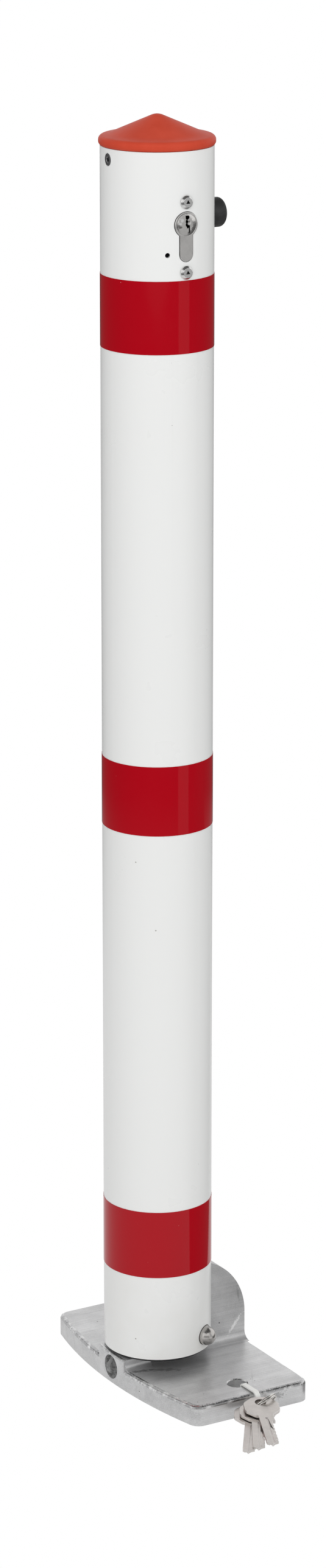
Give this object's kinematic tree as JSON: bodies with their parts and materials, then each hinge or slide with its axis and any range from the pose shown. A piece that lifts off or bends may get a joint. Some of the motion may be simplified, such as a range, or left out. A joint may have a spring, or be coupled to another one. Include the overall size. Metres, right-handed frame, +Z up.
{
  "type": "fold-down barrier post",
  "caption": "Banded tube post that folds flat about a pin on a cast base plate, held upright by a locking rod that a profile cylinder at its top works",
  "frame": {"origin": "on the ground, under the axis of the upright tube", "axes": "+Z up, -Y the side with the lock cylinder, +X the side the post folds towards, with the lug and the rubber buffer"},
  "size_m": [0.1055, 0.2601, 0.898],
  "materials": {
    "base_casting": "cast, brushed on top, shiny rounded edges",
    "cable_tie": "translucent white nylon",
    "split_ring": "polished wire",
    "key_1": "satin nickel",
    "key_2": "satin nickel",
    "key_3": "satin nickel",
    "tube": "semi-gloss white powder coat",
    "lower_band": "red reflective foil",
    "middle_band": "red reflective foil",
    "upper_band": "red reflective foil",
    "cap": "orange-red moulded plastic, fine grain",
    "cap_screw": "zinc plated",
    "hinge_insert": "black moulded nylon",
    "hinge_pin": "satin steel",
    "hinge_pin_screw": "satin steel",
    "thrust_washers": "natural nylon",
    "lower_rod_guide": "black moulded nylon",
    "upper_rod_guide": "black moulded nylon",
    "lock_carrier": "as sawn",
    "cylinder_body": "satin nickel on brass",
    "cylinder_grub_screw": "blackened",
    "upper_lock_screw": "bright zinc",
    "lower_lock_screw": "bright zinc",
    "rubber_buffer": "black rubber",
    "buffer_stud": "zinc plated",
    "buffer_nut": "zinc plated",
    "rod_spring": "spring steel",
    "locking_rod": "zinc plated round bar",
    "rod_collar": "turned steel",
    "rod_driver": "bent zinc-plated sheet",
    "rod_nut": "zinc plated",
    "cylinder_plug": "satin nickel, polished bevel",
    "lock_cam": "sintered steel"
  },
  "bodies": {
    "base": {"base_casting": "base_casting", "cable_tie": "cable_tie", "split_ring": "split_ring", "key_1": "key_1", "key_2": "key_2", "key_3": "key_3"},
    "post": {"tube": "tube", "lower_band": "lower_band", "middle_band": "middle_band", "upper_band": "upper_band", "cap": "cap", "cap_screw": "cap_screw", "hinge_insert": "hinge_insert", "hinge_pin": "hinge_pin", "hinge_pin_screw": "hinge_pin_screw", "thrust_washers": "thrust_washers", "lower_rod_guide": "lower_rod_guide", "upper_rod_guide": "upper_rod_guide", "lock_carrier": "lock_carrier", "cylinder_body": "cylinder_body", "cylinder_grub_screw": "cylinder_grub_screw", "upper_lock_screw": "upper_lock_screw", "lower_lock_screw": "lower_lock_screw", "rubber_buffer": "rubber_buffer", "buffer_stud": "buffer_stud", "buffer_nut": "buffer_nut", "rod_spring": "rod_spring"},
    "rod": {"locking_rod": "locking_rod", "rod_collar": "rod_collar", "rod_driver": "rod_driver", "rod_nut": "rod_nut"},
    "plug": {"cylinder_plug": "cylinder_plug", "lock_cam": "lock_cam"}
  },
  "joints": [
    {"name": "post_fold", "type": "hinge", "parent": "base", "child": "post", "pos_m": [0.02, 0, 0.0355], "axis": [0, 1, 0], "range_deg": [0, 90.4]},
    {"name": "rod_slide", "type": "slide", "parent": "post", "child": "rod", "axis": [0, 0, 1], "range_m": [-0.016, 0], "deforming": ["rod_spring"]},
    {"name": "plug_turn", "type": "hinge", "parent": "post", "child": "plug", "pos_m": [0, 0, 0.8296], "axis": [0, 1, 0], "range_deg": [0, 90.1]}
  ],
  "couplings": [
    {"joint": "plug_turn", "follows": "rod_slide", "rad_per_m": -98.17}
  ]
}
